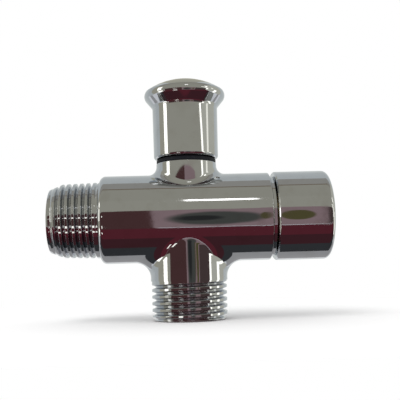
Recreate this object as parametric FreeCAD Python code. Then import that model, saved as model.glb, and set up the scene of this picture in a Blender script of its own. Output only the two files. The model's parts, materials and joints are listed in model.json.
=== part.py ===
import FreeCAD, Part
import math
import os

from FreeCAD import Vector

# Shower arm diverter: a plated brass tee with a swivel inlet nut, a tapered outlet for the fixed
# shower head, a lower outlet for the hand shower, and a pull knob that lifts a double seat valve.
# Millimetres, +Z up along the knob and the lower outlet, +X towards the swivel nut. The origin is
# the centre of the lower outlet's end face, so the part stands on its lower outlet.

# Half inch pipe thread, shared by all three connections. The male ends carry its grooves as rings at
# the true pitch, and the nut's bore is as narrow as its crests.
thread_major_radius = 10.4775
thread_depth = 1.162
thread_pitch = 1.814
thread_land = 0.514
thread_cutter_over = 0.1

# Valve body, outside. Heights are counted up from the main axis, reaches along it from the stem axis
neck_over_thread = 0.2225
barrel_over_neck = 1.6
barrel_left = 23.1
barrel_right = 23.0
shoulder_chamfer = 1.2
barrel_end_chamfer = 0.5
neck_fillet = 4.2
neck_plain = 1.0
boss_wall = 1.75
boss_fillet = 2.4
boss_land = 0.5
boss_edge = 0.3
nut_groove_depth = 1.0
nut_groove_width = 1.0

# Outlet to the fixed head, with the long lead cone of a pipe thread
head_outlet_reach = 13.9
head_cone_length = 3.5
head_first_groove = 2.0
head_end_wall = 1.9
head_bore_radius = 7.0
head_bore_end = 10.5
head_port_radius = 3.0
head_port_height = 4.0

# Outlet to the hand shower
hand_thread_length = 10.7
hand_lead_length = 1.1
hand_lead_inset = 0.8775
hand_first_groove = 2.264
hand_bore_radius = 7.0

# Valve chambers inside the body
chamber_step = 0.5
chamber_depth = 9.7
chamber_water_gap = 1.0
seat_web = 2.5
seat_hole_gap = 0.575
seat_lip_height = 0.6
seat_lip_width = 0.9
inlet_port_radius = 3.8
inlet_port_drop = 3.6
tail_bore_end = 10.5

# Clearances
screwed_clearance = 0.05
turning_clearance = 0.05
cage_clearance = 0.1
seat_gap = 0.1
nut_gap = 0.3
washer_clearance = 0.4

# Swivel connection on the inlet side
nut_over_barrel = 0.2
nut_length = 15.3
nut_chamfer = 0.5
nut_round = 1.6
nut_face = 0.2
nut_lip = 2.0
nut_lip_clearance = 0.2
nut_relief = 0.12
nut_thread_length = 7.0
nut_mouth_length = 1.2
slip_washer_thickness = 0.5
tail_flange_clearance = 0.2
tail_flange_step = 1.4155
tail_flange_thickness = 2.0
tail_wall = 2.9
tail_key_across_flats = 10.0
tail_key_depth = 6.0
tail_end_gap = 1.8
tail_ring_section = 0.9
tail_ring_inset = 2.5
screen_thickness = 0.5
screen_rim = 1.8
screen_hole_radius = 0.55
screen_hole_spacing = 1.9
screen_ring_count = 2
inlet_washer_thickness = 2.0
inlet_washer_width = 3.9

# Knob
knob_over_boss = 0.8
knob_draft = 0.15
knob_wall = 1.25
knob_skirt_round = 0.8
knob_barrel_length = 13.3
knob_flare_length = 3.9
knob_flare = 2.25
knob_flare_hollow = 0.34
knob_rim_round = 1.1
knob_rim_tuck = 0.35
knob_rim_crown = 1.1
knob_rim_inset = 0.35
knob_dome_rise = 3.6
knob_post_radius = 3.6
knob_post_length = 5.4
knob_post_gap = 2.0
knob_blind_end = 0.4

# Rubber ring that the knob lands on
buffer_ring_height = 1.2
buffer_ring_inset = 0.1
buffer_ring_gap = 0.15
buffer_ring_chamfer = 0.35

# Stem and valve stack
stem_radius = 2.0
stem_tail_shoulder = 0.5
stem_spigot_shoulder = 0.4
stem_spigot_length = 5.0
stem_tail_proud = 0.4
seal_overlap = 0.55
seal_thickness = 1.4
disc_thickness = 2.0
backing_washer_margin = 0.6
backing_washer_thickness = 0.6
lock_nut_across_flats = 5.5
lock_nut_thickness = 2.4

# Seat cage between the bonnet and the body's step
gasket_thickness = 0.8
gasket_width = 1.3
gasket_clearance = 0.25
cage_floor = 1.5
cage_lip_height = 0.4
cage_lip_width = 0.8
cage_wall = 0.95
cage_top_ring = 2.0
cage_window_width = 6.4
cage_window_count = 4

# Bonnet that carries the stem
bonnet_thread_length = 4.8
bonnet_flange_overlap = 0.45
bonnet_flange_thickness = 1.0
bonnet_hex_across_flats = 12.0
bonnet_hex_margin = 0.27
bonnet_hex_height = 3.5
bonnet_recess_gap = 0.3
bonnet_recess_depth = 1.6
bonnet_ring_section = 0.8
bonnet_ring_inset = 1.4
stem_ring_section = 1.2
stem_ring_spacing = 2.2

# Return spring
spring_wire = 0.5
spring_stem_gap = 0.5
spring_turn_count = 6
spring_end_gap = 0.05

# Threads and the barrel with its neck
thread_minor_radius = thread_major_radius - thread_depth
neck_radius = thread_major_radius + neck_over_thread
barrel_radius = neck_radius + barrel_over_neck
nut_spigot_radius = barrel_radius - nut_groove_depth
axis_z = hand_thread_length + neck_plain + neck_fillet + barrel_radius
shoulder_x = -(barrel_left + shoulder_chamfer)
head_end_x = shoulder_x - head_outlet_reach
head_end_radius = head_bore_radius + head_end_wall
hand_end_radius = thread_major_radius - hand_lead_inset
body_right_x = barrel_right + nut_groove_width

# Stem, spring, seats, chambers and boss, each around the one before
stem_hole_radius = stem_radius + turning_clearance
stem_tail_radius = stem_radius - stem_tail_shoulder
stem_spigot_radius = stem_radius - stem_spigot_shoulder
spring_coil_radius = stem_radius + spring_stem_gap + spring_wire / 2
spring_outer_radius = spring_coil_radius + spring_wire / 2
backing_washer_radius = spring_outer_radius + backing_washer_margin
cage_seat_radius = backing_washer_radius + washer_clearance
hexagon_corner = 1 / math.cos(math.pi / 6)
seat_hole_radius = lock_nut_across_flats / 2 * hexagon_corner + seat_hole_gap
seal_radius = seat_hole_radius + seat_lip_width + seal_overlap
gasket_inner_radius = seal_radius + gasket_clearance
lower_chamber_radius = seal_radius + chamber_water_gap
bonnet_hex_corner = bonnet_hex_across_flats / 2 * hexagon_corner
bore_for_gasket = gasket_inner_radius + gasket_width
bore_for_bonnet = bonnet_hex_corner + bonnet_hex_margin - bonnet_flange_overlap
upper_bore_radius = max(bore_for_gasket, bore_for_bonnet)
boss_radius = upper_bore_radius + boss_wall
boss_top = barrel_radius + boss_fillet + boss_land + boss_edge
bonnet_bottom = boss_top - bonnet_thread_length
bonnet_flange_radius = upper_bore_radius + bonnet_flange_overlap
bonnet_flange_top = boss_top + bonnet_flange_thickness
hex_top = bonnet_flange_top + bonnet_hex_height

# Valve stack with the knob down, from the lower seat upwards
chamber_floor = -chamber_depth
seat_lip_top = chamber_floor + seat_lip_height
lower_seal_z = seat_lip_top + seat_gap
disc_z = lower_seal_z + seal_thickness
upper_seal_z = disc_z + disc_thickness
backing_washer_z = upper_seal_z + seal_thickness
stem_bottom = backing_washer_z + backing_washer_thickness
lock_nut_z = lower_seal_z - lock_nut_thickness
cage_bottom = chamber_step + gasket_thickness
cage_radius = upper_bore_radius - cage_clearance

# Swivel connection, from the body outwards
tail_flange_radius = thread_minor_radius - tail_flange_clearance
tail_radius = tail_flange_radius - tail_flange_step
tail_bore_radius = tail_radius + screwed_clearance
tail_bore = tail_radius - tail_wall
tail_end_x = tail_bore_end + tail_end_gap
nut_radius = barrel_radius + nut_over_barrel
nut_left_x = body_right_x + nut_gap
nut_right_x = nut_left_x + nut_length
nut_lip_x = nut_left_x + nut_lip
nut_lip_radius = tail_radius + nut_lip_clearance
nut_relief_radius = thread_major_radius + nut_relief
nut_mouth_radius = nut_radius - nut_round - nut_face
nut_mouth_x = nut_right_x - nut_mouth_length
nut_thread_x = nut_mouth_x - nut_thread_length
slip_washer_x = nut_lip_x + turning_clearance
flange_x = slip_washer_x + slip_washer_thickness
flange_face_x = flange_x + tail_flange_thickness

# Knob, from the buffer ring upwards
knob_radius = boss_radius + knob_over_boss
buffer_top = boss_top + buffer_ring_height
knob_bottom = buffer_top + seat_gap
knob_skirt_radius = knob_radius - knob_draft
knob_cavity_radius = knob_skirt_radius - knob_wall
knob_flare_start = knob_bottom + knob_barrel_length
knob_rim_low = knob_flare_start + knob_flare_length
knob_rim_height = knob_rim_low + knob_rim_round
knob_rim_radius = knob_radius + knob_flare
knob_post_bottom = hex_top + knob_post_gap
knob_cavity_top = knob_post_bottom + knob_post_length
stem_top = knob_post_bottom + stem_spigot_length

os.makedirs("parts", exist_ok=True)


def height(above_axis):
    """Z of a point given by its height above the main axis."""
    return axis_z + above_axis


def outline(start, *moves):
    """Closed face in the XZ plane. A move is an end point, or an arc's middle and end points."""
    points = [Vector(start[0], 0, start[1])]
    edges = []
    for move in moves + (start,):
        if isinstance(move[0], tuple):
            middle = Vector(move[0][0], 0, move[0][1])
            end = Vector(move[1][0], 0, move[1][1])
            edges.append(Part.Arc(points[-1], middle, end).toShape())
        else:
            end = Vector(move[0], 0, move[1])
            if end.distanceToPoint(points[-1]) < 1e-7:
                continue
            edges.append(Part.makeLine(points[-1], end))
        points.append(end)
    return Part.Face(Part.Wire(edges))


def turned_up(start, *moves):
    """Solid turned about the vertical axis; points are (radius, height above the main axis)."""
    solid = outline(start, *moves).revolve(Vector(0, 0, 0), Vector(0, 0, 1), 360)
    solid.translate(Vector(0, 0, axis_z))
    return solid


def turned_along(start, *moves):
    """Solid turned about the main axis; points are (x, radius)."""
    solid = outline(start, *moves).revolve(Vector(0, 0, 0), Vector(1, 0, 0), 360)
    solid.translate(Vector(0, 0, axis_z))
    return solid


def upright(radius, bottom, top):
    """Cylinder on the vertical axis between two heights above the main axis."""
    return Part.makeCylinder(radius, top - bottom, Vector(0, 0, height(bottom)))


def along(radius, left, right, above_axis=0.0):
    """Cylinder parallel to the main axis between two places along it."""
    foot = Vector(left, 0, height(above_axis))
    return Part.makeCylinder(radius, right - left, foot, Vector(1, 0, 0))


def hex_prism(across_flats, bottom, top):
    """Hexagonal prism on the vertical axis between two heights above the main axis."""
    corner = across_flats / 2 * hexagon_corner
    corners = []
    for i in range(7):
        turn = math.radians(60 * i)
        corners.append(Vector(corner * math.cos(turn), corner * math.sin(turn), height(bottom)))
    return Part.Face(Part.makePolygon(corners)).extrude(Vector(0, 0, top - bottom))


def washer_up(outer, inner, bottom, thickness):
    """Flat ring on the vertical axis."""
    return upright(outer, bottom, bottom + thickness).cut(upright(inner, bottom, bottom + thickness))


def ring_section(inner, section, middle):
    """Outline of a round sealing ring, with six flats."""
    half = section / 2
    corners = []
    for i in range(6):
        turn = math.radians(60 * i)
        corners.append((inner + half + half * math.cos(turn), middle + half * math.sin(turn)))
    return corners


def make(name, shape):
    """Writes one named piece."""
    shape.exportStep("parts/" + name + ".step")
    return shape


# Body casting: barrel with its shoulder, boss for the bonnet, neck of the lower outlet
barrel = turned_along(
    (shoulder_x, 0),
    (shoulder_x, barrel_radius - shoulder_chamfer),
    (-barrel_left, barrel_radius),
    (barrel_right - barrel_end_chamfer, barrel_radius),
    (barrel_right, barrel_radius - barrel_end_chamfer),
    (barrel_right, nut_spigot_radius),
    (body_right_x, nut_spigot_radius),
    (body_right_x, 0),
)
neck = upright(neck_radius, hand_thread_length - axis_z, 0)
boss = upright(boss_radius, 0, boss_top)
casting = barrel.fuse([neck, boss]).removeSplitter()
near = 0.01


def joint_edges(shape, radius, low, high):
    """Curved edges where an upright cylinder of the given radius runs into the barrel."""
    found = []
    for edge in shape.Edges:
        box = edge.BoundBox
        if edge.Curve.TypeId == "Part::GeomLine" or box.ZMin < low or box.ZMax > high:
            continue
        middle = edge.valueAt((edge.FirstParameter + edge.LastParameter) / 2)
        if abs(math.hypot(middle.x, middle.y) - radius) < near:
            found.append(edge)
    return found


boss_joint = joint_edges(casting, boss_radius, axis_z, height(boss_top) - near)
casting = casting.makeFillet(boss_fillet, boss_joint)
neck_joint = joint_edges(casting, neck_radius, hand_thread_length + near, axis_z)
casting = casting.makeFillet(neck_fillet, neck_joint)
boss_rim = [edge for edge in casting.Edges if edge.BoundBox.ZMin > height(boss_top) - near]
casting = casting.makeChamfer(boss_edge, boss_rim)

# Male ends of the two outlets, with their lead cones
head_outlet = turned_along(
    (head_end_x, 0),
    (head_end_x, head_end_radius),
    (head_end_x + head_cone_length, thread_major_radius),
    (-barrel_left, thread_major_radius),
    (-barrel_left, 0),
)
hand_outlet = turned_up(
    (0, -axis_z),
    (hand_end_radius, -axis_z),
    (thread_major_radius, hand_lead_length - axis_z),
    (thread_major_radius, hand_thread_length - axis_z),
    (0, hand_thread_length - axis_z),
)
body = casting.fuse([head_outlet, hand_outlet]).removeSplitter()

# Thread grooves of both outlets
groove_half = (thread_pitch - thread_land) / 2
cutter_radius = thread_major_radius + thread_cutter_over
cutter_half = groove_half * (thread_depth + thread_cutter_over) / thread_depth


def groove_places(first, thread_length):
    """How far from the end of its outlet each groove lies."""
    count = int((thread_length - first - groove_half) / thread_pitch) + 1
    return [first + i * thread_pitch for i in range(count)]


grooves = []
for place in groove_places(head_first_groove, head_outlet_reach):
    root = (head_end_x + place, thread_minor_radius)
    left = (root[0] - cutter_half, cutter_radius)
    right = (root[0] + cutter_half, cutter_radius)
    grooves.append(turned_along(root, left, right))
for place in groove_places(hand_first_groove, hand_thread_length):
    root = (thread_minor_radius, place - axis_z)
    low = (cutter_radius, root[1] - cutter_half)
    high = (cutter_radius, root[1] + cutter_half)
    grooves.append(turned_up(root, low, high))

# Waterways and the stepped valve chamber
seat_web_bottom = chamber_floor - seat_web
chamber = turned_up(
    (0, seat_lip_top),
    (seat_hole_radius + seat_lip_width, seat_lip_top),
    (seat_hole_radius + seat_lip_width, chamber_floor),
    (lower_chamber_radius, chamber_floor),
    (lower_chamber_radius, chamber_step),
    (upper_bore_radius, chamber_step),
    (upper_bore_radius, boss_top),
    (0, boss_top),
)
waterways = [
    upright(seat_hole_radius, seat_web_bottom, seat_lip_top),
    upright(hand_bore_radius, -axis_z, seat_web_bottom),
    along(head_bore_radius, head_end_x, -head_bore_end),
    along(head_port_radius, -head_bore_end, 0, head_port_height),
    along(tail_bore_radius, tail_bore_end, body_right_x),
    along(inlet_port_radius, 0, tail_bore_end, -inlet_port_drop),
]
body = make("body", body.cut([chamber] + waterways + grooves))

# Swivel nut: smooth round shell with an inner lip at the back and the female thread's crest bore
round_middle = nut_round * (1 - math.sqrt(0.5))
swivel_nut = turned_along(
    (nut_left_x, nut_lip_radius),
    (nut_left_x, nut_radius - nut_chamfer),
    (nut_left_x + nut_chamfer, nut_radius),
    (nut_right_x - nut_round, nut_radius),
    ((nut_right_x - round_middle, nut_radius - round_middle), (nut_right_x, nut_radius - nut_round)),
    (nut_right_x, nut_mouth_radius),
    (nut_mouth_x, thread_minor_radius),
    (nut_thread_x, thread_minor_radius),
    (nut_thread_x, nut_relief_radius),
    (nut_lip_x, nut_relief_radius),
    (nut_lip_x, nut_lip_radius),
)
make("swivel_nut", swivel_nut)

# Swivel tail: screws into the body and holds the nut by its flange
tail_ring_x = body_right_x - tail_ring_inset
tail_ring_left = tail_ring_x - tail_ring_section / 2
tail_ring_right = tail_ring_x + tail_ring_section / 2
tail_groove_radius = tail_bore_radius - tail_ring_section
tail = turned_along(
    (tail_end_x, tail_bore),
    (tail_end_x, tail_radius),
    (tail_ring_left, tail_radius),
    (tail_ring_left, tail_groove_radius),
    (tail_ring_right, tail_groove_radius),
    (tail_ring_right, tail_radius),
    (flange_x, tail_radius),
    (flange_x, tail_flange_radius),
    (flange_face_x, tail_flange_radius),
    (flange_face_x, tail_bore),
)
key_socket = hex_prism(tail_key_across_flats, -tail_key_depth, 0)
key_socket.rotate(Vector(0, 0, axis_z), Vector(0, 1, 0), 90)
key_socket.translate(Vector(flange_face_x, 0, 0))
screen_left = flange_face_x - screen_thickness
screen_radius = tail_bore + screen_rim
screen_seat = along(screen_radius + screwed_clearance, screen_left, flange_face_x)
make("swivel_tail", tail.cut([key_socket, screen_seat]))

tail_ring = [(x, radius) for radius, x in ring_section(tail_groove_radius, tail_ring_section, tail_ring_x)]
make("tail_o_ring", turned_along(*tail_ring))
slip_washer = along(tail_flange_radius, slip_washer_x, flange_x).cut(
    along(tail_radius + screwed_clearance, slip_washer_x, flange_x)
)
make("slip_washer", slip_washer)

# Perforated screen let into the tail's face, under the inlet washer
screen = along(screen_radius, screen_left, flange_face_x)
screen_holes = [along(screen_hole_radius, screen_left, flange_face_x)]
for ring in range(1, screen_ring_count + 1):
    for i in range(6 * ring):
        turn = 2 * math.pi * i / (6 * ring)
        hole = along(screen_hole_radius, screen_left, flange_face_x)
        reach = ring * screen_hole_spacing
        hole.translate(Vector(0, reach * math.cos(turn), reach * math.sin(turn)))
        screen_holes.append(hole)
make("filter_screen", screen.cut(screen_holes))

washer_right = flange_face_x + inlet_washer_thickness
inlet_washer = along(tail_flange_radius, flange_face_x, washer_right).cut(
    along(tail_flange_radius - inlet_washer_width, flange_face_x, washer_right)
)
make("inlet_washer", inlet_washer)

# Knob: turned mushroom cap with a hollow skirt and a threaded post for the stem
rim_low_radius = knob_rim_radius - knob_rim_tuck
flare_out = rim_low_radius - knob_radius
flare_chord = math.hypot(flare_out, knob_flare_length)
flare_middle = (
    knob_radius + flare_out / 2 - knob_flare_hollow * knob_flare_length / flare_chord,
    knob_flare_start + knob_flare_length / 2 + knob_flare_hollow * flare_out / flare_chord,
)
dome_edge_radius = knob_rim_radius - knob_rim_inset
dome_edge = knob_rim_height + knob_rim_crown
dome_radius = (dome_edge_radius**2 + knob_dome_rise**2) / (2 * knob_dome_rise)
knob_top = dome_edge + knob_dome_rise
dome_half = dome_edge_radius / 2
dome_half_height = knob_top - dome_radius + math.sqrt(dome_radius**2 - dome_half**2)
skirt_round_middle = knob_skirt_round * (1 - math.sqrt(0.5))
spigot_hole_radius = stem_spigot_radius + screwed_clearance
knob = turned_up(
    (knob_cavity_radius, knob_bottom),
    (knob_skirt_radius - knob_skirt_round, knob_bottom),
    (
        (knob_skirt_radius - skirt_round_middle, knob_bottom + skirt_round_middle),
        (knob_skirt_radius, knob_bottom + knob_skirt_round),
    ),
    (knob_radius, knob_flare_start),
    (flare_middle, (rim_low_radius, knob_rim_low)),
    ((knob_rim_radius, knob_rim_height), (dome_edge_radius, dome_edge)),
    ((dome_half, dome_half_height), (0, knob_top)),
    (0, stem_top + knob_blind_end),
    (spigot_hole_radius, stem_top + knob_blind_end),
    (spigot_hole_radius, knob_post_bottom),
    (knob_post_radius, knob_post_bottom),
    (knob_post_radius, knob_cavity_top),
    (knob_cavity_radius, knob_cavity_top),
)
make("knob", knob)

buffer_outer_radius = boss_radius - buffer_ring_inset
buffer_inner_radius = bonnet_flange_radius + buffer_ring_gap
buffer_ring = turned_up(
    (buffer_inner_radius, boss_top),
    (buffer_outer_radius, boss_top),
    (buffer_outer_radius, buffer_top - buffer_ring_chamfer),
    (buffer_outer_radius - buffer_ring_chamfer, buffer_top),
    (buffer_inner_radius, buffer_top),
)
make("buffer_ring", buffer_ring)

# Stem with its shoulder under the knob's post and its threaded tail through the valve stack
stem_tail_bottom = lock_nut_z - stem_tail_proud
stem = turned_up(
    (0, stem_tail_bottom),
    (stem_tail_radius, stem_tail_bottom),
    (stem_tail_radius, stem_bottom),
    (stem_radius, stem_bottom),
    (stem_radius, knob_post_bottom),
    (stem_spigot_radius, knob_post_bottom),
    (stem_spigot_radius, stem_top),
    (0, stem_top),
)
make("stem", stem)

stack_hole = stem_tail_radius + screwed_clearance
make("lower_seal", washer_up(seal_radius, stack_hole, lower_seal_z, seal_thickness))
make("poppet_disc", washer_up(seal_radius, stack_hole, disc_z, disc_thickness))
make("upper_seal", washer_up(seal_radius, stack_hole, upper_seal_z, seal_thickness))
backing_washer = washer_up(
    backing_washer_radius, stack_hole, backing_washer_z, backing_washer_thickness
)
make("backing_washer", backing_washer)
lock_nut = hex_prism(lock_nut_across_flats, lock_nut_z, lower_seal_z)
lock_nut = lock_nut.cut(upright(stack_hole, lock_nut_z, lower_seal_z))
make("poppet_lock_nut", lock_nut)

# Seat cage: windowed brass sleeve with the upper valve seat on its underside, on a flat gasket
make("cage_gasket", washer_up(cage_radius, gasket_inner_radius, chamber_step, gasket_thickness))
cage_inner = cage_radius - cage_wall
cage_floor_top = cage_bottom + cage_floor
cage = turned_up(
    (cage_seat_radius, cage_bottom - cage_lip_height),
    (cage_seat_radius + cage_lip_width, cage_bottom - cage_lip_height),
    (cage_seat_radius + cage_lip_width, cage_bottom),
    (cage_radius, cage_bottom),
    (cage_radius, bonnet_bottom),
    (cage_inner, bonnet_bottom),
    (cage_inner, cage_floor_top),
    (cage_seat_radius, cage_floor_top),
)
window_height = bonnet_bottom - cage_top_ring - cage_floor_top
for i in range(cage_window_count):
    corner = Vector(0, -cage_window_width / 2, height(cage_floor_top))
    window = Part.makeBox(cage_radius, cage_window_width, window_height, corner)
    window.rotate(Vector(0, 0, 0), Vector(0, 0, 1), 360 * i / cage_window_count)
    cage = cage.cut(window)
make("seat_cage", cage)

# Bonnet: screwed into the boss, with a flange on its rim, a hexagon and two stem seals
bonnet_radius = upper_bore_radius - screwed_clearance
bonnet_recess_radius = spring_outer_radius + bonnet_recess_gap
recess_top = bonnet_bottom + bonnet_recess_depth
bonnet_ring_middle = boss_top - bonnet_ring_inset
lower_ring_middle = recess_top + stem_ring_section
upper_ring_middle = lower_ring_middle + stem_ring_spacing
ring_half = stem_ring_section / 2
ring_groove_radius = stem_hole_radius + stem_ring_section
bonnet = turned_up(
    (bonnet_recess_radius, bonnet_bottom),
    (bonnet_radius, bonnet_bottom),
    (bonnet_radius, bonnet_ring_middle - bonnet_ring_section / 2),
    (bonnet_radius - bonnet_ring_section, bonnet_ring_middle - bonnet_ring_section / 2),
    (bonnet_radius - bonnet_ring_section, bonnet_ring_middle + bonnet_ring_section / 2),
    (bonnet_radius, bonnet_ring_middle + bonnet_ring_section / 2),
    (bonnet_radius, boss_top),
    (bonnet_flange_radius, boss_top),
    (bonnet_flange_radius, bonnet_flange_top),
    (stem_hole_radius, bonnet_flange_top),
    (stem_hole_radius, upper_ring_middle + ring_half),
    (ring_groove_radius, upper_ring_middle + ring_half),
    (ring_groove_radius, upper_ring_middle - ring_half),
    (stem_hole_radius, upper_ring_middle - ring_half),
    (stem_hole_radius, lower_ring_middle + ring_half),
    (ring_groove_radius, lower_ring_middle + ring_half),
    (ring_groove_radius, lower_ring_middle - ring_half),
    (stem_hole_radius, lower_ring_middle - ring_half),
    (stem_hole_radius, recess_top),
    (bonnet_recess_radius, recess_top),
)
hexagon = hex_prism(bonnet_hex_across_flats, bonnet_flange_top, hex_top)
hexagon = hexagon.cut(upright(stem_hole_radius, bonnet_flange_top, hex_top))
make("bonnet", bonnet.fuse(hexagon).removeSplitter())

bonnet_ring_inner = bonnet_radius - bonnet_ring_section
make("bonnet_o_ring", turned_up(*ring_section(bonnet_ring_inner, bonnet_ring_section, bonnet_ring_middle)))
make("stem_o_ring_lower", turned_up(*ring_section(stem_hole_radius, stem_ring_section, lower_ring_middle)))
make("stem_o_ring_upper", turned_up(*ring_section(stem_hole_radius, stem_ring_section, upper_ring_middle)))

# Return spring between the backing washer and the bonnet's recess; the round wire has six flats
spring_bottom = stem_bottom + spring_wire / 2 + spring_end_gap
spring_top = recess_top - spring_wire / 2 - spring_end_gap
spring_pitch = (spring_top - spring_bottom) / spring_turn_count
helix = Part.makeHelix(spring_pitch, spring_top - spring_bottom, spring_coil_radius)
wire_corners = []
for i in range(7):
    turn = math.radians(60 * i)
    across = spring_coil_radius + spring_wire / 2 * math.cos(turn)
    wire_corners.append(Vector(across, 0, spring_wire / 2 * math.sin(turn)))
spring = Part.Wire(helix).makePipeShell([Part.makePolygon(wire_corners)], True, True)
spring.translate(Vector(0, 0, height(spring_bottom)))
make("return_spring", spring)
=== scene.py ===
import bpy
import json
import math
from mathutils import Matrix, Vector
from mathutils.geometry import delaunay_2d_cdt


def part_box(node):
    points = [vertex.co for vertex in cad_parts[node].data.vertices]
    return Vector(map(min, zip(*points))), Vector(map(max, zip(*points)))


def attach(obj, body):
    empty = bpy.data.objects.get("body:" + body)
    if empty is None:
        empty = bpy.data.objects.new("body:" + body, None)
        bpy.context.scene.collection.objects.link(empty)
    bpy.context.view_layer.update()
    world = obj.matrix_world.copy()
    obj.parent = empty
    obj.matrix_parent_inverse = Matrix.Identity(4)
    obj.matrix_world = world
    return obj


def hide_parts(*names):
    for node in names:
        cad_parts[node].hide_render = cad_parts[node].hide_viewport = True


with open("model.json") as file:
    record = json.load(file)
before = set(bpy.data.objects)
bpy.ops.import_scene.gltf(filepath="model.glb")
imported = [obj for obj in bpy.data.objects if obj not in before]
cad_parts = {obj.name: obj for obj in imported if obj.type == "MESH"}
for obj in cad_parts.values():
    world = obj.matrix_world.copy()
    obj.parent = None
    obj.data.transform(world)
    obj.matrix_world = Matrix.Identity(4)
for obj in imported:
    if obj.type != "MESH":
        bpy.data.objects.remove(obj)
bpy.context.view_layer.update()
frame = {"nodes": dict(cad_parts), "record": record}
nodes = frame["nodes"]

# Valve body: one brass casting, a barrel with a boss for the bonnet above and a neck below, both run
# into it with soft rounds. Its ends are turned and threaded, then it is polished and chrome plated.
mm = 0.001
body_low, body_high = (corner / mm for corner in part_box("body"))
boss_top = body_high.z
barrel_radius = body_high.y
head_end = body_low.x
spigot_end = body_high.x
main_axis = 28.2
segments = 144

thread_radius = 10.4775
thread_depth = 1.162
thread_pitch = 1.814
thread_rows = 14
thread_crown = 0.3
thread_run_in = 0.9
axis_hole = 0.01


def across_main(turn):
    """Direction out from the main axis. A turn of 0 is the front, a quarter turn the top."""
    return Vector((0, -math.cos(turn), math.sin(turn)))


def across_stem(turn):
    """Direction out from the stem's axis."""
    return Vector((math.cos(turn), math.sin(turn), 0))


main = (Vector((0, 0, main_axis)), Vector((1, 0, 0)), across_main)
stem = (Vector((0, 0, 0)), Vector((0, 0, 1)), across_stem)


class Skin:
    """Surface of one piece in millimetres. Strips share their border points, and every corner keeps
    the true direction of the surface there, so that polished metal reflects without facets."""

    def __init__(self):
        self.numbers = {}
        self.points = []
        self.faces = []
        self.directions = []
        self.finishes = []
        self.finish = 0

    def number(self, place):
        key = tuple(round(c, 5) + 0.0 for c in place)
        if key not in self.numbers:
            self.numbers[key] = len(self.points)
            self.points.append(place)
        return self.numbers[key]

    def face(self, *corners):
        """One face from corners of (place, direction); corners that fall together are left out."""
        kept = {}
        for place, direction in corners:
            kept.setdefault(self.number(place), direction)
        if len(kept) < 3:
            return
        numbers = list(kept)
        first, second, last = (self.points[numbers[i]] for i in (0, 1, -1))
        facing = (second - first).cross(last - first)
        if len(numbers) == 4:
            facing = (self.points[numbers[2]] - first).cross(last - second)
        if facing.dot(sum(kept.values(), Vector())) < 0:
            numbers.reverse()
        self.faces.append(numbers)
        self.directions.extend(kept[n] for n in numbers)
        self.finishes.append(self.finish)

    def strip(self, rings):
        """Closed rings of points, each joined to the next."""
        for low, high in zip(rings, rings[1:]):
            for i in range(len(low)):
                self.face(low[i - 1], low[i], high[i], high[i - 1])

    def fill(self, loops, inside):
        """Fills the first loop round the others, which are holes. A point is (u, v, place,
        direction)."""
        points = []
        edges = []
        owner = []
        for number, loop in enumerate(loops):
            start = len(points)
            points += loop
            owner += [number] * len(loop)
            edges += [(start + i, start + (i + 1) % len(loop)) for i in range(len(loop))]
        points += inside
        owner += [0] * len(inside)
        flat = [Vector(point[:2]) for point in points]
        result = delaunay_2d_cdt(flat, edges, [], 0, 1e-6)
        source = [same[0] for same in result[3]]
        for triangle in result[2]:
            corners = [source[i] for i in triangle]
            owners = {owner[i] for i in corners}
            if len(owners) == 1 and owners != {0}:
                continue
            self.face(*[points[i][2:] for i in corners])

    def piece(self, name, body, node, *materials):
        """The finished piece, which stands for a node and moves with a body."""
        mesh = bpy.data.meshes.new(name)
        mesh.from_pydata([point * mm for point in self.points], [], self.faces)
        mesh.polygons.foreach_set("material_index", self.finishes)
        mesh.polygons.foreach_set("use_smooth", [True] * len(self.faces))
        mesh.normals_split_custom_set([direction.normalized() for direction in self.directions])
        for material in materials:
            mesh.materials.append(material)
        made = bpy.data.objects.new(name, mesh)
        bpy.context.collection.objects.link(made)
        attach(made, body)
        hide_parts(node)
        return made


def ring(axis, place, radius, lean_along, lean_out):
    """One turned ring, at a place along the axis, with the direction of the surface there."""
    middle, forward, across = axis
    points = []
    for i in range(segments):
        out = across(2 * math.pi * i / segments)
        points.append((middle + forward * place + out * radius, forward * lean_along + out * lean_out))
    return points


def turned(skin, axis, start, *moves):
    """Turned surface with the metal on the right of the path. A move is (place, radius) for a straight
    cut, with a third number for an arc of that radius: positive is rounded, negative is hollow."""
    for move in moves:
        end = move[:2]
        along, out = end[0] - start[0], end[1] - start[1]
        chord = math.hypot(along, out)
        if len(move) == 2:
            lean = (-out / chord, along / chord)
            skin.strip([ring(axis, *start, *lean), ring(axis, *end, *lean)])
            start = end
            continue
        side = math.copysign(1, move[2])
        rise = math.sqrt(max(move[2] ** 2 - (chord / 2) ** 2, 0))
        centre = (
            (start[0] + end[0]) / 2 + side * rise * out / chord,
            (start[1] + end[1]) / 2 - side * rise * along / chord,
        )
        first = math.atan2(start[1] - centre[1], start[0] - centre[0])
        last = math.atan2(end[1] - centre[1], end[0] - centre[0])
        sweep = math.remainder(last - first, 2 * math.pi)
        steps = max(3, math.ceil(abs(sweep) / math.radians(5)))
        rings = []
        for i in range(steps + 1):
            angle = first + sweep * i / steps
            lean = (math.cos(angle), math.sin(angle))
            place = (centre[0] + abs(move[2]) * lean[0], centre[1] + abs(move[2]) * lean[1])
            if i in (0, steps):
                place = end if i else start
            rings.append(ring(axis, *place, side * lean[0], side * lean[1]))
        skin.strip(rings)
        start = end


def smooth(value, low, high):
    """Eased share of the way from low to high."""
    share = min(max((value - low) / (high - low), 0), 1)
    return share * share * (3 - 2 * share)


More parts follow.
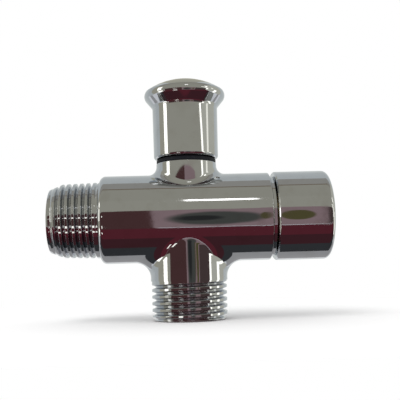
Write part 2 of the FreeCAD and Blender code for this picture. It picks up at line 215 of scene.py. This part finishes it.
def thread(skin, axis, start, end, hand, crest, depth):
    """Cut thread between two places. The groove is a true helix; crest and depth go by the place
    along the axis, and a depth below nought cuts outwards, as in a nut."""
    middle, forward, across = axis
    inward = math.copysign(1, depth(0.5 * (start + end)))

    def radius(place, turn):
        winds = (place - hand * thread_pitch * turn / (2 * math.pi)) / thread_pitch
        aside = abs(winds - round(winds)) * thread_pitch
        cut = depth(place) * smooth(aside, thread_crown, thread_pitch / 2)
        return crest(place) - cut

    first = math.floor(start / thread_pitch) - 1
    last = math.ceil(end / thread_pitch) + 1
    step = 0.01
    rings = []
    for row in range(first * thread_rows, last * thread_rows + 1):
        points = []
        for i in range(segments + 1):
            turn = 2 * math.pi * i / segments
            place = thread_pitch * (row / thread_rows + hand * i / segments)
            place = min(max(place, start), end)
            out = across(turn)
            round_way = across(turn + math.pi / 2)
            here = radius(place, turn)
            low, high = max(place - step, start), min(place + step, end)
            rise = (radius(high, turn) - radius(low, turn)) / (high - low)
            swing = (radius(place, turn + step) - radius(place, turn - step)) / (2 * step * here)
            lean = (out - forward * rise - round_way * swing) * inward
            points.append((middle + forward * place + out * here, lean))
        rings.append(points)
    for low, high in zip(rings, rings[1:]):
        for i in range(segments):
            skin.face(low[i], low[i + 1], high[i + 1], high[i])


body = Skin()
shoulder = -24.3
shoulder_round = 1.6
barrel_left = shoulder + shoulder_round
groove_face = 23.0
barrel_edge = 0.4
barrel_right = groove_face - barrel_edge
spigot_radius = barrel_radius - 1.0
tail_bore = 7.75
edge_round = 0.15


def branch(neck_radius, soft, side, end):
    """Branch on the barrel: a soft round rolled along the joint, then a plain cylinder up to its end.
    Gives back the round's line on the barrel as (x, arc length, place, direction)."""
    ball = barrel_radius + soft
    steps = 10
    rounds = [[] for _ in range(steps + 1)]
    border = []
    for i in range(segments):
        out = across_stem(2 * math.pi * i / segments)
        centre = out * (neck_radius + soft)
        centre.z = side * math.sqrt(ball**2 - centre.y**2)
        on_barrel = Vector((0, centre.y, centre.z)) / ball
        centre.z += main_axis
        for k in range(steps + 1):
            lean = on_barrel.slerp(out, k / steps)
            rounds[k].append((centre - lean * soft, lean))
        turn = math.atan2(on_barrel.z, -on_barrel.y)
        border.append((centre.x, barrel_radius * turn) + rounds[0][i])
    body.strip(rounds)
    foot = [
        (point, across_stem(2 * math.pi * i / segments))
        for i, (point, _) in enumerate(rounds[-1])
    ]
    body.strip([foot, ring(stem, end, neck_radius, 0, 1)])
    return border


boss_radius = 8.5
boss_soft = 2.4
boss_edge = 0.3
neck_radius = 10.7
neck_soft = 4.2
neck_bottom = 10.7
boss_line = branch(boss_radius, boss_soft, 1, boss_top - boss_edge)
neck_line = branch(neck_radius, neck_soft, -1, neck_bottom)


def barrel_point(x, turn):
    out = across_main(turn)
    return (x, barrel_radius * turn, Vector((x, 0, main_axis)) + out * barrel_radius, out)


turns = [2 * math.pi * i / segments - math.pi for i in range(segments + 1)]
columns = 28
places = [barrel_left + (barrel_right - barrel_left) * i / columns for i in range(columns + 1)]
border = [barrel_point(barrel_left, turn) for turn in turns]
border += [barrel_point(x, turns[-1]) for x in places[1:-1]]
border += [barrel_point(barrel_right, turn) for turn in reversed(turns)]
border += [barrel_point(x, turns[0]) for x in reversed(places[1:-1])]


def clear_of_branches(x, turn):
    """True where the barrel is plain, off the rounds of the boss and the neck."""
    reach = neck_radius + neck_soft if turn < 0 else boss_radius + boss_soft
    sides = reach * barrel_radius / (barrel_radius + (neck_soft if turn < 0 else boss_soft))
    return (x / (reach + 0.3)) ** 2 + (barrel_radius * math.cos(turn) / (sides + 0.1)) ** 2 > 1


plain = [
    barrel_point(x, turn)
    for x in places[1:-1]
    for turn in turns[1:-1]
    if clear_of_branches(x, turn)
]
body.fill([border, boss_line, neck_line], plain)

# Outlet to the fixed head, on the body's left end: tapered pipe thread, cut on a lathe with a long
# lead cone, and run out at the shoulder where the barrel begins
head_bore = 7.0
head_mouth = 8.9
head_cone = 3.5
gauge = head_end + 8.2
taper = 1 / 32
head_run_out = 1.6


def head_crest(place):
    tapered = thread_radius + (place - gauge) * taper
    share = (place - head_end) / head_cone
    top = thread_radius + (head_end + head_cone - gauge) * taper
    return min(tapered, head_mouth + share * (top - head_mouth))


def head_depth(place):
    below_cone = head_crest(place) - (thread_radius + (place - gauge) * taper - thread_depth)
    return min(thread_depth, max(below_cone, 0)) * smooth(shoulder - place, 0.2, head_run_out)


turned(body, main, (head_end, head_bore), (head_end, head_mouth))
thread(body, main, head_end, shoulder, -1, head_crest, head_depth)
turned(
    body,
    main,
    (shoulder, head_crest(shoulder)),
    (shoulder, barrel_radius - shoulder_round),
    (barrel_left, barrel_radius, shoulder_round),
)
turned(
    body,
    main,
    (barrel_right, barrel_radius),
    (groove_face, barrel_radius - barrel_edge, barrel_edge),
    (groove_face, spigot_radius + edge_round),
    (groove_face + edge_round, spigot_radius, -edge_round),
    (spigot_end - edge_round, spigot_radius),
    (spigot_end, spigot_radius - edge_round, edge_round),
    (spigot_end, tail_bore),
)

# Outlet to the hand shower hose, under the body's neck: parallel pipe thread with a short lead, cut
# on a lathe. The hose's cone nut screws onto it.
hand_bore = 7.0
hand_mouth = 9.6
hand_lead = 1.1
hand_run_out = 1.1


def hand_crest(place):
    return min(thread_radius, hand_mouth + place / hand_lead * (thread_radius - hand_mouth))


def hand_depth(place):
    run_out = smooth(neck_bottom - place, 0.1, hand_run_out)
    return thread_depth * smooth(place, 0, thread_run_in) * run_out


turned(body, stem, (0, hand_bore + edge_round), (0, hand_mouth))
thread(body, stem, 0, neck_bottom, 1, hand_crest, hand_depth)
turned(body, stem, (neck_bottom, thread_radius), (neck_bottom, neck_radius))
turned(body, stem, (boss_top - boss_edge, boss_radius), (boss_top, boss_radius - boss_edge, boss_edge))

# Waterways: the chamber, the lower seat and the bores to the outlets, cut into the casting after
# plating, so they show bare brass
body.finish = 1
seat_hole = 3.75
seat_width = 0.9
seat_underside = 16.0
seat_lip = 19.1
chamber_floor = 18.5
chamber = 6.2
cage_step = 28.7
bonnet_bore = 6.75
turned(
    body,
    stem,
    (boss_top, boss_radius - boss_edge),
    (boss_top, bonnet_bore),
    (cage_step, bonnet_bore),
    (cage_step, chamber),
    (chamber_floor, chamber),
    (chamber_floor, seat_hole + seat_width),
    (seat_lip, seat_hole + seat_width),
    (seat_lip, seat_hole),
    (seat_underside, seat_hole),
    (seat_underside, hand_bore),
    (edge_round, hand_bore),
    (0, hand_bore + edge_round, edge_round),
)
tail_bore_end = 10.5
turned(body, main, (spigot_end, tail_bore), (tail_bore_end, tail_bore), (tail_bore_end, axis_hole))
head_bore_end = -10.5
port = 3.0
port_height = 4.0
port_overlap = 0.3
turned(body, main, (head_bore_end, head_bore), (head_end, head_bore))


def port_ring(place):
    """Round port drilled off centre from the head outlet's bore into the chamber."""
    points = []
    for i in range(segments):
        out = across_main(2 * math.pi * i / segments)
        centre = Vector((place, 0, main_axis + port_height))
        points.append((centre + out * port, -out))
    return points


blind_end = [(p.y, p.z, p, Vector((-1, 0, 0))) for p, _ in ring(main, head_bore_end, head_bore, 0, 1)]
mouth = [(p.y, p.z, p, Vector((-1, 0, 0))) for p, _ in port_ring(head_bore_end)]
body.fill([blind_end, mouth], [])
body.strip([port_ring(head_bore_end), port_ring(-bonnet_bore + port_overlap)])

# Chrome plate on polished brass: bright, a little wavy from the polishing wheel, with faint hairline
# scratches, haze in broad patches and fine dust specks that only show in a highlight


def group_socket(tree, name, kind, way, value=None):
    socket = tree.interface.new_socket(name, in_out=way, socket_type=kind)
    if value is not None:
        socket.default_value = value
    return socket


def linked(tree, kind, settings, **inputs):
    """New node with settings, and inputs that are values or other nodes' outputs. An input goes by its
    name, or by its number as i0, i1 and so on."""
    node = tree.nodes.new(kind)
    for name, value in settings.items():
        setattr(node, name, value)
    for name, value in inputs.items():
        numbered = name[0] == "i" and name[1:].isdigit()
        socket = node.inputs[int(name[1:])] if numbered else node.inputs[name]
        if isinstance(value, bpy.types.NodeSocket):
            tree.links.new(value, socket)
        else:
            socket.default_value = value
    return node


def polish_group():
    """Waves, hairlines, haze and specks of a polished metal surface, at object scale."""
    tree = bpy.data.node_groups.new("polished metal", "ShaderNodeTree")
    group_socket(tree, "Base", "NodeSocketColor", "INPUT", (0.5, 0.5, 0.5, 1))
    group_socket(tree, "Shade", "NodeSocketColor", "INPUT", (0.4, 0.4, 0.4, 1))
    group_socket(tree, "Smoothness floor", "NodeSocketFloat", "INPUT", 0.05)
    group_socket(tree, "Haze", "NodeSocketFloat", "INPUT", 0.05)
    group_socket(tree, "Wave", "NodeSocketFloat", "INPUT", 1.0)
    group_socket(tree, "Color", "NodeSocketColor", "OUTPUT")
    group_socket(tree, "Roughness", "NodeSocketFloat", "OUTPUT")
    group_socket(tree, "Height", "NodeSocketFloat", "OUTPUT")
    given = tree.nodes.new("NodeGroupInput").outputs
    where = tree.nodes.new("ShaderNodeTexCoord").outputs["Object"]
    waves = linked(tree, "ShaderNodeTexNoise", {}, Vector=where, Scale=90.0, Detail=1.0)
    broad = linked(tree, "ShaderNodeTexNoise", {}, Vector=where, Scale=260.0, Detail=3.0)
    hair_frame = linked(tree, "ShaderNodeMapping", {}, Vector=where)
    hair_frame.inputs["Scale"].default_value = (900, 9000, 9000)
    hair_frame.inputs["Rotation"].default_value = (0.3, 0.5, 0.2)
    hair = linked(tree, "ShaderNodeTexNoise", {}, Vector=hair_frame.outputs[0], Scale=1.0, Detail=2.0)
    specks = linked(tree, "ShaderNodeTexVoronoi", {}, Vector=where, Scale=700.0)
    speck = linked(tree, "ShaderNodeMapRange", {"interpolation_type": "SMOOTHSTEP"},
                   Value=specks.outputs["Distance"], i1=0.03, i2=0.1, i3=1.0, i4=0.0)
    patch = linked(tree, "ShaderNodeMapRange", {"interpolation_type": "SMOOTHSTEP"},
                   Value=broad.outputs["Fac"], i1=0.45, i2=0.75, i3=0.0, i4=1.0)
    fine = linked(tree, "ShaderNodeMapRange", {},
                  Value=hair.outputs["Fac"], i1=0.55, i2=0.8, i3=0.0, i4=0.5)
    dull = linked(tree, "ShaderNodeMath", {"operation": "ADD"}, i0=patch.outputs[0], i1=fine.outputs[0])
    dull = linked(tree, "ShaderNodeMath", {"operation": "ADD"}, i0=dull.outputs[0], i1=speck.outputs[0])
    rough = linked(tree, "ShaderNodeMath", {"operation": "MULTIPLY_ADD"},
                   i0=dull.outputs[0], i1=given["Haze"], i2=given["Smoothness floor"])
    tint = linked(tree, "ShaderNodeMix", {"data_type": "RGBA"}, Factor=patch.outputs[0])
    tree.links.new(given["Base"], tint.inputs[6])
    tree.links.new(given["Shade"], tint.inputs[7])
    height = linked(tree, "ShaderNodeMath", {"operation": "MULTIPLY"},
                    i0=waves.outputs["Fac"], i1=given["Wave"])
    height = linked(tree, "ShaderNodeMath", {"operation": "MULTIPLY_ADD"},
                    i0=fine.outputs[0], i1=-0.004, i2=height.outputs[0])
    out = tree.nodes.new("NodeGroupOutput").inputs
    tree.links.new(tint.outputs[2], out["Color"])
    tree.links.new(rough.outputs[0], out["Roughness"])
    tree.links.new(height.outputs[0], out["Height"])
    return tree


polish = polish_group()


def polished_metal(name, base, shade, floor, haze, wave, wave_height):
    """Metal whose colour, haze and waves come from the polish group."""
    material = bpy.data.materials.new(name)
    material.use_nodes = True
    tree = material.node_tree
    surface = tree.nodes["Principled BSDF"]
    surface.inputs["Metallic"].default_value = 1.0
    finish = tree.nodes.new("ShaderNodeGroup")
    finish.node_tree = polish
    finish.inputs["Base"].default_value = (*base, 1)
    finish.inputs["Shade"].default_value = (*shade, 1)
    finish.inputs["Smoothness floor"].default_value = floor
    finish.inputs["Haze"].default_value = haze
    finish.inputs["Wave"].default_value = wave
    bump = linked(tree, "ShaderNodeBump", {}, Strength=1.0, Distance=wave_height)
    tree.links.new(finish.outputs["Height"], bump.inputs["Height"])
    tree.links.new(finish.outputs["Color"], surface.inputs["Base Color"])
    tree.links.new(finish.outputs["Roughness"], surface.inputs["Roughness"])
    tree.links.new(bump.outputs[0], surface.inputs["Normal"])
    return material


plated = (0.47, 0.49, 0.525)
plated_haze = (0.44, 0.455, 0.48)
body_chrome = polished_metal("cast body chrome", plated, plated_haze, 0.045, 0.05, 1.0, 0.00008)
bored_brass = polished_metal(
    "bored brass", (0.55, 0.4, 0.17), (0.42, 0.29, 0.11), 0.25, 0.2, 0.2, 0.00002
)

# Casting pit, plated over with the rest: a small dent high on the front of the barrel, right of the
# boss
pit = Vector((8.2, 0, main_axis)) + across_main(math.radians(57.6)) * barrel_radius
pit_radius = 0.9
pit_depth = 12.0
pit_tree = body_chrome.node_tree
pit_away = linked(pit_tree, "ShaderNodeVectorMath", {"operation": "DISTANCE"},
                  i0=pit_tree.nodes.new("ShaderNodeTexCoord").outputs["Object"], i1=pit * mm)
pit_dent = linked(pit_tree, "ShaderNodeMapRange", {"interpolation_type": "SMOOTHSTEP"},
                  Value=pit_away.outputs["Value"], i1=0.25 * pit_radius * mm, i2=pit_radius * mm,
                  i3=-pit_depth, i4=0.0)
pit_bump = next(node for node in pit_tree.nodes if node.bl_idname == "ShaderNodeBump")
waved = pit_bump.inputs["Height"].links[0].from_socket
pitted = linked(pit_tree, "ShaderNodeMath", {"operation": "ADD"}, i0=waved, i1=pit_dent.outputs[0])
pit_tree.links.new(pitted.outputs[0], pit_bump.inputs["Height"])
body_piece = body.piece("plated_body", "valve_body", "body", body_chrome, bored_brass)

# Swivel nut: smooth round brass shell, turned, plated, with a female pipe thread. It hangs on the
# tail's flange by an inner lip and is turned by hand, so it has no flats.
nut_low, nut_high = (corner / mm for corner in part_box("swivel_nut"))
nut_left, nut_right = nut_low.x, nut_high.x
nut_radius = nut_high.y
nut_round = 1.6
nut_chamfer = 0.3
nut_lip = 7.9
nut_relief = 10.6
nut_lip_end = nut_left + 2.0
nut_mouth = 1.2
nut_thread_length = 7.0
nut_face = nut_radius - nut_round - 0.2
thread_right = nut_right - nut_mouth
thread_left = thread_right - nut_thread_length
nut_crest = thread_radius - thread_depth
nut = Skin()
turned(
    nut,
    main,
    (nut_left, nut_lip),
    (nut_left, nut_radius - nut_chamfer - edge_round),
    (nut_left + edge_round / 2, nut_radius - nut_chamfer, edge_round),
    (nut_left + nut_chamfer, nut_radius - edge_round / 2),
    (nut_left + nut_chamfer + edge_round, nut_radius, edge_round * 2),
    (nut_right - nut_round, nut_radius),
    (nut_right, nut_radius - nut_round, nut_round),
    (nut_right, nut_face),
)
nut.finish = 1
turned(nut, main, (nut_right, nut_face), (thread_right, nut_crest))


def nut_thread_crest(place):
    return nut_crest


def nut_thread_depth(place):
    run_in = smooth(thread_right - place, 0, thread_run_in)
    run_out = smooth(place - thread_left, 0, thread_run_in)
    return -thread_depth * run_in * run_out - 1e-6


thread(nut, main, thread_left, thread_right, -1, nut_thread_crest, nut_thread_depth)
turned(
    nut,
    main,
    (thread_left, nut_crest),
    (thread_left, nut_relief),
    (nut_lip_end, nut_relief),
    (nut_lip_end, nut_lip),
    (nut_left, nut_lip),
)
nut_chrome = polished_metal("turned nut chrome", plated, plated_haze, 0.045, 0.05, 0.7, 0.00006)
nut_piece = nut.piece("plated_nut", "inlet_nut", "swivel_nut", nut_chrome, bored_brass)

# Pull knob: mushroom cap turned from brass bar and plated. Its skirt is hollow and hides the bonnet,
# and a threaded post inside takes the stem.
knob_low, knob_high = (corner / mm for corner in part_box("knob"))
knob_bottom, knob_top = knob_low.z, knob_high.z
rim_radius = knob_high.x
skirt_radius = rim_radius - 2.4
skirt_top_radius = rim_radius - 2.25
flare_start = knob_bottom + 14.3
flare_hollow = 1.6
flare_slope = math.radians(39.2)
flare_low = flare_start + flare_hollow * math.sin(flare_slope)
flare_radius = skirt_top_radius + flare_hollow * (1 - math.cos(flare_slope))
rim_low = knob_bottom + 17.2
rim_high = rim_low + 2.2
rim_round = 1.9
dome_edge = rim_radius - 0.35
dome_rise = knob_top - rim_high
dome_round = (dome_edge**2 + dome_rise**2) / (2 * dome_rise)
skirt_wall = 1.25
skirt_round = 0.8
cavity = skirt_radius - skirt_wall
post = 3.6
post_low = boss_top + 6.5
post_high = post_low + 5.4
stem_hole = 1.65
stem_hole_end = post_high
knob = Skin()
turned(
    knob,
    stem,
    (knob_bottom, cavity + edge_round),
    (knob_bottom, skirt_radius - skirt_round),
    (knob_bottom + skirt_round, skirt_radius, skirt_round),
    (flare_start, skirt_top_radius),
    (flare_low, flare_radius, -flare_hollow),
    (rim_low, dome_edge),
    (rim_high, dome_edge, rim_round),
    (knob_top, axis_hole, dome_round),
)
knob.finish = 1
turned(
    knob,
    stem,
    (stem_hole_end, axis_hole),
    (stem_hole_end, stem_hole),
    (post_low, stem_hole),
    (post_low, post),
    (post_high, post),
    (post_high, cavity),
    (knob_bottom + edge_round, cavity),
    (knob_bottom, cavity + edge_round, edge_round),
)
knob_chrome = polished_metal("turned knob chrome", plated, plated_haze, 0.045, 0.05, 0.7, 0.00006)
knob_piece = knob.piece("plated_knob", "plunger", "knob", knob_chrome, bored_brass)

# Buffer ring: moulded black rubber, slipped over the bonnet and held between the boss and the knob,
# so that the knob lands softly
ring_low, ring_high = (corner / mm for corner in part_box("buffer_ring"))
ring_outer = ring_high.x
ring_inner = 7.35
ring_edge = 0.2
ring_round = 0.4
buffer = Skin()
turned(
    buffer,
    stem,
    (ring_low.z, ring_inner),
    (ring_low.z, ring_outer - ring_edge),
    (ring_low.z + ring_edge, ring_outer, ring_edge),
    (ring_high.z - ring_round, ring_outer),
    (ring_high.z, ring_outer - ring_round, ring_round),
    (ring_high.z, ring_inner),
    (ring_low.z, ring_inner),
)


def rubber(name, base, dusty, roughness, shine=0.5):
    """Moulded rubber with a fine matt grain and a little pale dust."""
    material = bpy.data.materials.new(name)
    material.use_nodes = True
    tree = material.node_tree
    surface = tree.nodes["Principled BSDF"]
    surface.inputs["Specular IOR Level"].default_value = shine
    where = tree.nodes.new("ShaderNodeTexCoord").outputs["Object"]
    grain = linked(tree, "ShaderNodeTexNoise", {}, Vector=where, Scale=6000.0, Detail=4.0)
    patches = linked(tree, "ShaderNodeTexNoise", {}, Vector=where, Scale=900.0, Detail=5.0)
    dust = linked(tree, "ShaderNodeMapRange", {"interpolation_type": "SMOOTHSTEP"},
                  Value=patches.outputs["Fac"], i1=0.5, i2=0.8, i3=0.0, i4=1.0)
    tint = linked(tree, "ShaderNodeMix", {"data_type": "RGBA"}, Factor=dust.outputs[0])
    tint.inputs[6].default_value = (*base, 1)
    tint.inputs[7].default_value = (*dusty, 1)
    matt = linked(tree, "ShaderNodeMapRange", {}, Value=grain.outputs["Fac"],
                  i1=0.3, i2=0.7, i3=roughness - 0.08, i4=roughness + 0.08)
    bump = linked(tree, "ShaderNodeBump", {}, Strength=0.5, Distance=0.00003)
    tree.links.new(grain.outputs["Fac"], bump.inputs["Height"])
    tree.links.new(tint.outputs[2], surface.inputs["Base Color"])
    tree.links.new(matt.outputs[0], surface.inputs["Roughness"])
    tree.links.new(bump.outputs[0], surface.inputs["Normal"])
    return material


buffer_black = rubber("buffer rubber", (0.009, 0.0105, 0.015), (0.016, 0.018, 0.023), 0.6, 0.15)
buffer_piece = buffer.piece("rubber_buffer", "valve_body", "buffer_ring", buffer_black)

# Inner pieces: seals of black rubber, brass turnings, stainless wire and rod, and one stamped white
# plastic washer. Most only show through the outlets or with the knob pulled.
seal_black = rubber("seal rubber", (0.012, 0.012, 0.012), (0.03, 0.03, 0.03), 0.6)
turned_brass = polished_metal(
    "turned brass", (0.6, 0.45, 0.2), (0.5, 0.36, 0.15), 0.2, 0.15, 0.3, 0.00002
)
stainless = polished_metal(
    "drawn stainless", (0.42, 0.42, 0.41), (0.36, 0.36, 0.35), 0.22, 0.15, 0.3, 0.00002
)
stamped_plastic = rubber("stamped white plastic", (0.7, 0.7, 0.67), (0.6, 0.6, 0.56), 0.45)
inner_finishes = {
    "seal_rubber": seal_black,
    "brass": turned_brass,
    "stainless": stainless,
    "white_plastic": stamped_plastic,
}
for part in frame["record"]["subparts"]:
    finish = inner_finishes.get(part["material_slot"])
    if finish is None:
        continue
    mesh = nodes[part["node"]].data
    mesh.materials.clear()
    mesh.materials.append(finish)

# Studio: pale floor, one soft lamp and an even white surround. Cards that only the metal sees stand
# for what lies round the object in the photo.
room = main_axis * mm


def stage_mesh(name, points, faces, material):
    mesh = bpy.data.meshes.new(name)
    mesh.from_pydata(points, [], faces)
    mesh.materials.append(material)
    made = bpy.data.objects.new(name, mesh)
    bpy.context.collection.objects.link(made)
    return made


def linear(level):
    """Light that shows as this level, from 0 to 255, in the picture."""
    share = level / 255
    return share / 12.92 if share <= 0.04045 else ((share + 0.055) / 1.055) ** 2.4


def card_light(name, seen, boost, soft):
    """Emission that shows as the given picture colour in the plated metal. A soft card is oval and
    fades out towards its edge."""
    material = bpy.data.materials.new(name)
    material.use_nodes = True
    tree = material.node_tree
    tree.nodes.remove(tree.nodes["Principled BSDF"])
    light = linked(tree, "ShaderNodeEmission", {}, Strength=boost)
    shown = [linear(level) / metal for level, metal in zip(seen, plated)]
    light.inputs["Color"].default_value = (*shown, 1)
    surface = light
    if soft:
        across = linked(tree, "ShaderNodeVectorMath", {"operation": "MULTIPLY_ADD"},
                        i0=tree.nodes.new("ShaderNodeTexCoord").outputs["Generated"],
                        i1=(2, 0, 2), i2=(-1, 0, -1))
        out = linked(tree, "ShaderNodeVectorMath", {"operation": "LENGTH"}, i0=across.outputs[0])
        clear = linked(tree, "ShaderNodeMapRange", {"interpolation_type": "SMOOTHSTEP"},
                       Value=out.outputs["Value"], i1=1 - soft, i2=1.0, i3=0.0, i4=1.0)
        surface = linked(tree, "ShaderNodeMixShader", {}, i0=clear.outputs[0], i1=light.outputs[0],
                         i2=tree.nodes.new("ShaderNodeBsdfTransparent").outputs[0])
    tree.links.new(surface.outputs[0], tree.nodes["Material Output"].inputs["Surface"])
    return material


def only_in_metal(card):
    card.visible_camera = False
    card.visible_diffuse = False
    card.visible_shadow = False
    card.visible_transmission = False


def band_card(name, seen, low, high, left, right, distance=1.0, boost=1.0, soft=0):
    """Card rolled about the main axis from a low to a high angle above the front, in degrees."""
    steps = max(2, round(abs(high - low) / 4))
    points = []
    for i in range(steps + 1):
        angle = math.radians(low + (high - low) * i / steps)
        for x in (left, right):
            points.append((x, -distance * math.cos(angle), room + distance * math.sin(angle)))
    faces = [(2 * i, 2 * i + 1, 2 * i + 3, 2 * i + 2) for i in range(steps)]
    only_in_metal(stage_mesh(name, points, faces, card_light(name, seen, boost, soft)))


def wall_card(name, seen, left, right, low, high, distance=1.2, boost=1.0, lean=0):
    """Upright card between two bearings from the front, and two heights, in degrees and metres. Its
    top edge is shifted by the lean, in degrees."""
    steps = max(2, round(abs(right - left) / 4))
    points = []
    for i in range(steps + 1):
        for z, shift in ((low, 0), (high, lean)):
            bearing = math.radians(left + (right - left) * i / steps + shift)
            points.append((distance * math.sin(bearing), -distance * math.cos(bearing), z))
    faces = [(2 * i, 2 * i + 1, 2 * i + 3, 2 * i + 2) for i in range(steps)]
    only_in_metal(stage_mesh(name, points, faces, card_light(name, seen, boost, 0)))


# Room round the object: warm grey wall and ceiling in front, windows at both sides, dark clothing close
# in front, and grey plaster behind
window = (255, 255, 249)
wall_card("warm wall", (131, 131, 123), -66, 62, -0.3, 1.3)
wall_card("left wall", (138, 137, 127), -104, -62, -0.6, 1.3, distance=1.3)
wall_card("left far wall", (152, 158, 161), -124, -104, -0.6, 1.3, distance=1.3)
wall_card("left window middle", window, -81, -68, -0.03, 0.42, boost=1.5)
wall_card("right wall", (156, 157, 149), 60, 124, -0.6, 1.3, distance=1.3)
wall_card("slanted pane", window, 64, 71, 0.13, 0.42, distance=1.15, boost=1.2, lean=-18)
wall_card("right pane", (225, 225, 217), 80, 88, 0.15, 0.42)
wall_card("right window", window, 61, 69, -0.1, 0.13, boost=1.2)
wall_card("far right window", window, 91, 101, -0.6, 0.1, boost=1.2)
for side, left, right in (("left", -83, -67), ("right", 61, 70)):
    wall_card(f"{side} window low", window, left, right, -0.62, -0.3, boost=1.4)
    wall_card(f"{side} window high", window, left, right, 0.48, 0.72, boost=1.4)
wall_card("back wall", (158, 164, 167), 124, 236, -0.35, 1.3, distance=1.25)
wall_card("cap shade", (134, 135, 127), 157, 203, 0.074, 0.16, distance=0.03)
band_card("warm ceiling", (129, 129, 121), 45, 79, -1.0, 1.0)
band_card("cornice", (100, 92, 82), 79, 82, -1.0, 1.0)
band_card("grey ceiling", (126, 126, 123), 82, 104, -1.0, 1.0)
band_card("back ceiling", (154, 160, 163), 104, 140, -1.0, 1.0)
band_card("strip lamp", (255, 255, 255), 39.5, 43.5, 0.008, 0.075, distance=0.5, boost=2.2)
band_card("dark front", (62, 42, 43), -27, 16, -0.155, -0.012, distance=0.105)
band_card("mauve front", (114, 98, 102), -26, 16, -0.0135, 0.0584, distance=0.104)
band_card("green front", (58, 60, 58), -24, 13, -0.010, 0.036, distance=0.103, soft=0.3)
band_card("black middle", (34, 35, 36), -12, 3, -0.006, 0.018, distance=0.102, soft=0.5)
band_card("small olive", (66, 63, 42), -12, 7, 0.0305, 0.0361, distance=0.1025, soft=0.3)
band_card("olive front", (68, 65, 42), -15, 9, 0.038, 0.0535, distance=0.102, soft=0.15)
band_card("brown front", (60, 50, 50), -26, 14, 0.0584, 0.19, distance=0.105)
band_card("red below", (72, 30, 38), -52, -27, -0.2, 0.25, distance=0.12)
band_card("maroon below", (52, 28, 33), -79, -52, -0.2, 0.25, distance=0.12)
band_card("black below", (42, 44, 47), -107, -79, -0.2, 0.25, distance=0.12)
band_card("grey below", (130, 131, 134), -150, -107, -0.4, 0.4, distance=0.3)
for middle, half in ((4, 1.5), (-22, 3), (-37, 2)):
    band_card(f"glint {middle}", window, middle - half, middle + half, -0.062, -0.037, distance=0.1)

# Pale floor, which fades out a little way off so that no edge shows. The metal doesn't mirror it.
floor_size = 1.0
floor_whole = 0.05
floor_gone = 0.14
floor_material = bpy.data.materials.new("pale floor")
floor_material.use_nodes = True
floor_tree = floor_material.node_tree
floor_surface = floor_tree.nodes["Principled BSDF"]
floor_surface.inputs["Roughness"].default_value = 0.9
floor_surface.inputs["Specular IOR Level"].default_value = 0.0
floor_surface.inputs["Base Color"].default_value = (0.95, 0.95, 0.95, 1)
floor_out = linked(floor_tree, "ShaderNodeVectorMath", {"operation": "LENGTH"},
                   i0=floor_tree.nodes.new("ShaderNodeTexCoord").outputs["Object"])
floor_fade = linked(floor_tree, "ShaderNodeMapRange", {"interpolation_type": "SMOOTHSTEP"},
                    Value=floor_out.outputs["Value"], i1=floor_whole, i2=floor_gone, i3=1.0, i4=0.0)
floor_tree.links.new(floor_fade.outputs[0], floor_surface.inputs["Alpha"])
floor_low = -0.0002
floor = stage_mesh(
    "pale_floor",
    [(-floor_size, -floor_size, floor_low), (floor_size, -floor_size, floor_low),
     (floor_size, floor_size, floor_low), (-floor_size, floor_size, floor_low)],
    [(0, 1, 2, 3)],
    floor_material,
)
floor.visible_glossy = False

# Surround: white to the camera and to the metal, a little lower as light on the floor
world = bpy.data.worlds.new("white surround")
bpy.context.scene.world = world
world.use_nodes = True
sky = world.node_tree
sky.nodes.clear()
ray = sky.nodes.new("ShaderNodeLightPath")
seen_white = linked(sky, "ShaderNodeMath", {"operation": "MAXIMUM"},
                    i0=ray.outputs["Is Camera Ray"], i1=ray.outputs["Is Transmission Ray"])
seen_white = linked(sky, "ShaderNodeMath", {"operation": "MAXIMUM"},
                    i0=seen_white.outputs[0], i1=ray.outputs["Is Glossy Ray"])
level = linked(sky, "ShaderNodeMapRange", {},
               Value=seen_white.outputs[0], i1=0.0, i2=1.0, i3=0.9, i4=1.0)
surround = linked(sky, "ShaderNodeBackground", {}, Color=(1, 1, 1, 1))
sky.links.new(level.outputs[0], surround.inputs["Strength"])
sky_out = sky.nodes.new("ShaderNodeOutputWorld")
sky.links.new(surround.outputs[0], sky_out.inputs["Surface"])

# Soft lamp over the front left corner
lamp_data = bpy.data.lights.new("soft lamp", "AREA")
lamp_data.shape = "DISK"
lamp_data.size = 0.5
lamp_data.energy = 2.0
lamp = bpy.data.objects.new("soft_lamp", lamp_data)
lamp.location = (-0.25, -0.35, 0.7)
lamp.rotation_euler = (Vector((0, 0, room)) - lamp.location).to_track_quat("-Z", "Y").to_euler()
lamp.visible_glossy = False
bpy.context.collection.objects.link(lamp)

# Camera: close by, below the main axis and looking up, rolled a touch so that the part leans as in
# the photo
aim = Vector((3.65, 0, main_axis + 5.07)) * mm
bearing, rise, roll = (math.radians(angle) for angle in (-2.057, -5.965, 1.639))
away = Vector((math.sin(bearing), -math.cos(bearing), math.tan(rise))) * math.cos(rise)
right = Vector((math.cos(bearing), math.sin(bearing), 0))
upward = away.cross(right)
camera_data = bpy.data.cameras.new("camera")
camera_distance = 0.18733
camera_data.sensor_width = 36.0
camera_data.lens = 59.33
camera = bpy.data.objects.new("camera", camera_data)
turned_right = right * math.cos(roll) - upward * math.sin(roll)
turned_up = right * math.sin(roll) + upward * math.cos(roll)
facing = Matrix((turned_right, turned_up, away)).transposed()
camera.matrix_world = Matrix.Translation(aim + away * camera_distance) @ facing.to_4x4()
bpy.context.collection.objects.link(camera)
bpy.context.scene.camera = camera
bpy.context.scene.view_settings.view_transform = "Standard"
